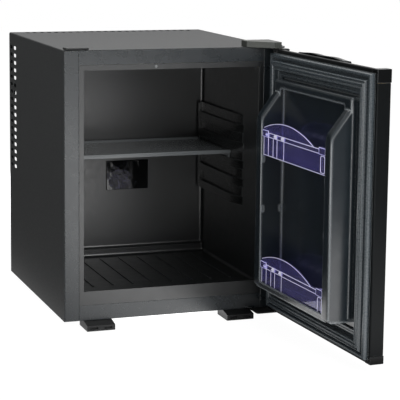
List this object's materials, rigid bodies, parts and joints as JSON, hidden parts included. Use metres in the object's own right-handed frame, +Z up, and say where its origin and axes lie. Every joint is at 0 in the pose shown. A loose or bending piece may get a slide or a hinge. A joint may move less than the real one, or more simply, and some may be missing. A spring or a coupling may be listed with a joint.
{
  "type": "display fridge",
  "caption": "Small absorption minibar fridge with a hinged insulated door, a sliding shelf and lift-off bottle guards on the door.",
  "frame": {"origin": "centre of the box of the whole fridge with its door open, on the surface that the feet stand on", "axes": "+Z up, the front of the cabinet faces -Y, +X to the right seen from the front; the open door reaches out along -Y"},
  "size_m": [0.4274, 0.8484, 0.512],
  "materials": {
    "painted_steel": "near-black fine-grained powder coat",
    "frame_steel": "dark grey satin paint",
    "liner_plastic": "vacuum-formed grey polystyrene, satin",
    "glossy_plastic": "polished dark moulding",
    "black_plastic": "black moulded plastic",
    "grey_plastic": "warm grey moulded plastic",
    "gasket_rubber": "soft grey magnetic gasket",
    "foam": "rigid insulation foam",
    "zinc_steel": "zinc-plated sheet",
    "black_tube": "black lacquered steel tube",
    "aluminium": "mill finish fins",
    "violet_plastic": "clear violet-tinted styrene",
    "white_nylon": "white nylon",
    "lens": "clear lens"
  },
  "bodies": {
    "cabinet": {"outer_wrap": "painted_steel", "base_pan": "zinc_steel", "front_stile_left": "frame_steel", "front_stile_right": "frame_steel", "front_rail_top": "frame_steel", "front_rail_bottom": "frame_steel", "inner_liner": "liner_plastic", "cabinet_foam": "foam", "rear_closure_plate": "zinc_steel", "shelf_ladder_left": "liner_plastic", "shelf_ladder_right": "liner_plastic", "back_wall_cover": "glossy_plastic", "door_sensor": "lens", "foot_front_left": "black_plastic", "foot_front_right": "black_plastic", "foot_rear_left": "black_plastic", "foot_rear_right": "black_plastic", "hinge_bracket_top": "zinc_steel", "hinge_pin_top": "zinc_steel", "hinge_cover_top": "grey_plastic", "hinge_bracket_bottom": "black_plastic", "hinge_plug_left": "black_plastic", "absorber_vessel": "black_tube", "boiler_housing": "zinc_steel", "absorber_coil": "black_tube", "evaporator_block": "foam", "condenser": "aluminium", "control_box": "black_plastic", "power_inlet": "black_plastic"},
    "door": {"door_skin": "painted_steel", "door_edge_top": "painted_steel", "door_edge_bottom": "painted_steel", "door_edge_hinge": "painted_steel", "door_edge_free": "painted_steel", "door_cap_top_hinge": "painted_steel", "door_cap_top_free": "painted_steel", "door_cap_bottom_hinge": "painted_steel", "door_cap_bottom_free": "painted_steel", "door_grip": "painted_steel", "door_foam": "foam", "door_liner": "liner_plastic", "door_gasket": "gasket_rubber", "door_bush_top": "white_nylon", "door_bush_bottom": "white_nylon"},
    "upper_guard": {"guard_upper": "violet_plastic"},
    "lower_guard": {"guard_lower": "violet_plastic"},
    "shelf": {"shelf": "liner_plastic"}
  },
  "joints": [
    {"name": "door_hinge", "type": "hinge", "parent": "cabinet", "child": "door", "pos_m": [0.18126, -0.03079, 0.015], "axis": [0, 0, 1], "range_deg": [-92.5, 22.5]},
    {"name": "shelf_slide", "type": "slide", "parent": "cabinet", "child": "shelf", "axis": [0, -1, 0], "range_m": [0, 0.084]},
    {"name": "upper_guard_lift", "type": "slide", "parent": "door", "child": "upper_guard", "axis": [0, 0, 1], "range_m": [0, 0.03]},
    {"name": "lower_guard_lift", "type": "slide", "parent": "door", "child": "lower_guard", "axis": [0, 0, 1], "range_m": [0, 0.03]}
  ]
}
